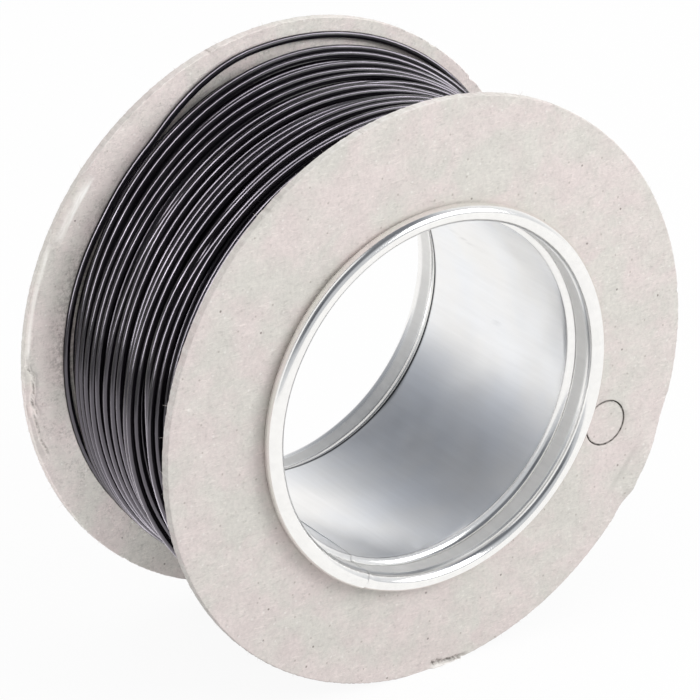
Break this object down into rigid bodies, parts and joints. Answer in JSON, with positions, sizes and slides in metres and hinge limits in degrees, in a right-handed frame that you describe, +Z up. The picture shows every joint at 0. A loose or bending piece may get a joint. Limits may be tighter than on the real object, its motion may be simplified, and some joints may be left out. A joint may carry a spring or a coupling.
{
  "type": "wire spool",
  "caption": "Board-flanged wire spool with a rolled tinplate core, wound with thin insulated equipment wire, for a dispenser spindle.",
  "frame": {"origin": "middle of the core's bore, halfway between the two flanges", "axes": "+Y along the reel's axis from the front flange to the back flange, +Z up from the two rims that it stands on, +X to the right seen from the front"},
  "size_m": [0.1, 0.0498, 0.0996],
  "materials": {
    "greyboard": "uncoated grey chipboard, fibrous and matt",
    "tinplate": "bright rolled tinplate",
    "wire_insulation": "semi-gloss black PVC",
    "copper": "bare drawn copper"
  },
  "bodies": {
    "root": {"front_flange": "greyboard", "back_flange": "greyboard", "front_knockout_disc": "greyboard", "back_knockout_disc": "greyboard", "core_barrel": "tinplate", "inner_windings": "wire_insulation", "outer_turns": "wire_insulation", "conductor_strand_1": "copper", "conductor_strand_2": "copper", "conductor_strand_3": "copper", "conductor_strand_4": "copper", "conductor_strand_5": "copper", "conductor_strand_6": "copper", "conductor_strand_7": "copper"}
  },
  "joints": []
}
